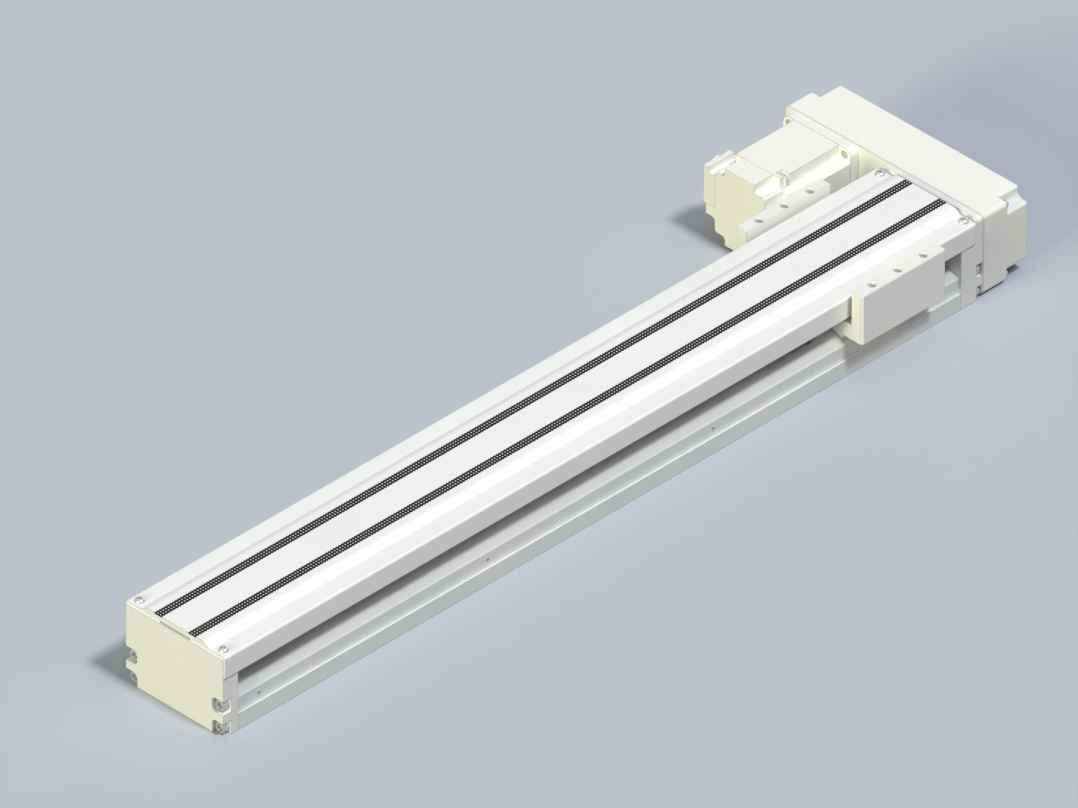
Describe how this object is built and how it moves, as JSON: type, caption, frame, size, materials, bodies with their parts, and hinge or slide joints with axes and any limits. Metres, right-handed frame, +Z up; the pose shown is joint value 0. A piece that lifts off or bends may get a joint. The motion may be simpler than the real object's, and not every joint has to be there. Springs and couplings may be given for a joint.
{
  "type": "steel base linear module",
  "caption": "Ball screw linear module: U shaped steel rail, fixed cover, sliding table with arms beside it, belt housing across the end and a servo motor folded back beside the rail.",
  "frame": {"origin": "centre of the rail's flat bottom face", "axes": "+X along the rail towards the belt housing, +Y towards the motor, +Z up from the mounting face"},
  "size_m": [0.7139, 0.188, 0.0663],
  "materials": {
    "rail_steel": "ground steel, fine lengthwise grain",
    "block_aluminium": "pale satin anodised aluminium",
    "cover_aluminium": "pale satin anodised extrusion",
    "table_aluminium": "pale satin anodised aluminium",
    "housing_shell": "ivory white satin coating",
    "motor_shell": "pale satin coating",
    "encoder_shell": "pale matte moulding",
    "plug_plastic": "pale matte moulding",
    "mesh_black": "black mesh tape",
    "fastener_steel": "zinc plated steel",
    "precision_steel": "ground and polished bearing steel",
    "dark_rubber": "black rubber",
    "cap_plastic": "cream moulded plastic",
    "brass": "plain brass",
    "belt_rubber": "black belt rubber",
    "stator_core": "laminated steel core",
    "rotor_core": "magnet rotor"
  },
  "bodies": {
    "base": {"base_rail": "rail_steel", "front_end_block": "block_aluminium", "rear_end_block": "block_aluminium", "front_block_screws": "fastener_steel", "rear_block_screws": "fastener_steel", "top_cover": "cover_aluminium", "right_mesh_strip": "mesh_black", "left_mesh_strip": "mesh_black", "cover_screws": "fastener_steel", "front_bumpers": "dark_rubber", "rear_bumpers": "dark_rubber", "bearing_retainer": "block_aluminium", "retainer_screws": "fastener_steel", "front_bearing_outer": "precision_steel", "rear_bearing_outers": "precision_steel", "drive_belt": "belt_rubber", "motor_plate": "block_aluminium", "plate_screws": "fastener_steel", "housing_cover": "housing_shell", "housing_screws": "fastener_steel", "motor_flange": "motor_shell", "motor_screws": "fastener_steel", "motor_body": "motor_shell", "stator": "stator_core", "motor_bearing_outers": "precision_steel", "encoder_cover": "encoder_shell", "encoder_plug": "plug_plastic", "power_plug": "plug_plastic"},
    "carriage": {"table": "table_aluminium", "table_screws": "fastener_steel", "slide_block": "rail_steel", "front_end_cap": "cap_plastic", "rear_end_cap": "cap_plastic", "front_seal": "dark_rubber", "rear_seal": "dark_rubber", "cap_screws": "fastener_steel", "grease_nipple": "brass", "ball_nut": "precision_steel", "nut_screws": "fastener_steel"},
    "screw": {"ball_screw": "precision_steel", "front_circlip": "fastener_steel", "front_bearing_inner": "precision_steel", "rear_bearing_inners": "precision_steel", "spacer_collar": "precision_steel", "lock_nut": "fastener_steel", "screw_pulley": "block_aluminium"},
    "rotor": {"motor_shaft": "precision_steel", "rotor": "rotor_core", "motor_bearing_inners": "precision_steel", "encoder_disc": "fastener_steel", "motor_pulley": "block_aluminium"}
  },
  "joints": [
    {"name": "carriage_slide", "type": "slide", "parent": "base", "child": "carriage", "axis": [1, 0, 0], "range_m": [-0.5173, 0.0065]},
    {"name": "screw_spin", "type": "hinge", "parent": "base", "child": "screw", "pos_m": [0.3, 0, 0.0318], "axis": [1, 0, 0], "continuous": true},
    {"name": "motor_spin", "type": "hinge", "parent": "base", "child": "rotor", "pos_m": [0.3, 0.097, 0.0318], "axis": [1, 0, 0], "continuous": true}
  ],
  "couplings": [
    {"joint": "screw_spin", "follows": "carriage_slide", "rad_per_m": -628.32},
    {"joint": "motor_spin", "follows": "carriage_slide", "rad_per_m": -628.32}
  ]
}
